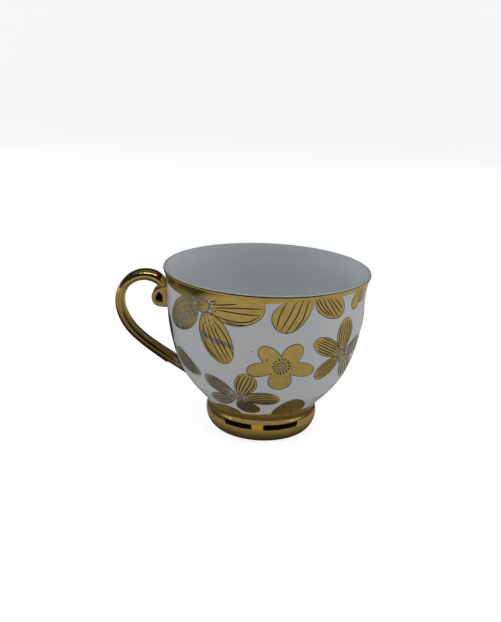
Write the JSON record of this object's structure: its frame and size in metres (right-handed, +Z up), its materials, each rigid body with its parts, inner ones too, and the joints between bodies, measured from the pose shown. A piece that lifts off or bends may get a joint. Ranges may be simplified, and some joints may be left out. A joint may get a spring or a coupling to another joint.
{
  "type": "teacup",
  "caption": "Footed porcelain teacup with a flared lip, gilded bead foot, gold volute handle and gold flower transfers round the bowl.",
  "frame": {"origin": "on the cup's axis, in the plane of the ring that the foot stands on", "axes": "+Z up along the bowl's axis, the handle along -X, the side facing -Y is the front"},
  "size_m": [0.1113, 0.09, 0.0735],
  "materials": {
    "porcelain": "glossy clear glaze over white porcelain",
    "slip": "fired slip, matt",
    "gold_lustre": "burnished bright gold lustre, mirror glossy",
    "gold_transfer": "printed bright gold with fine slate lines, glossy"
  },
  "bodies": {
    "root": {"bowl": "porcelain", "foot": "porcelain", "handle": "gold_lustre", "foot_luting": "slip", "handle_luting_upper": "slip", "handle_luting_lower": "slip", "rim_gilding": "gold_lustre", "foot_gilding": "gold_lustre", "flower_rim_left": "gold_transfer", "flower_rim_front": "gold_transfer", "flower_rim_right": "gold_transfer", "flower_rim_back": "gold_transfer", "flower_rim_back_left": "gold_transfer", "flower_solid_front": "gold_transfer", "flower_line_right": "gold_transfer", "flower_line_low_left": "gold_transfer", "flower_line_left": "gold_transfer", "flower_foot_left": "gold_transfer", "flower_foot_right": "gold_transfer", "flower_foot_back": "gold_transfer", "flower_foot_back_left": "gold_transfer", "flower_line_side_right": "gold_transfer", "flower_solid_back_right": "gold_transfer", "flower_line_back": "gold_transfer", "flower_solid_back_left": "gold_transfer", "flower_line_low_side": "gold_transfer"}
  },
  "joints": []
}
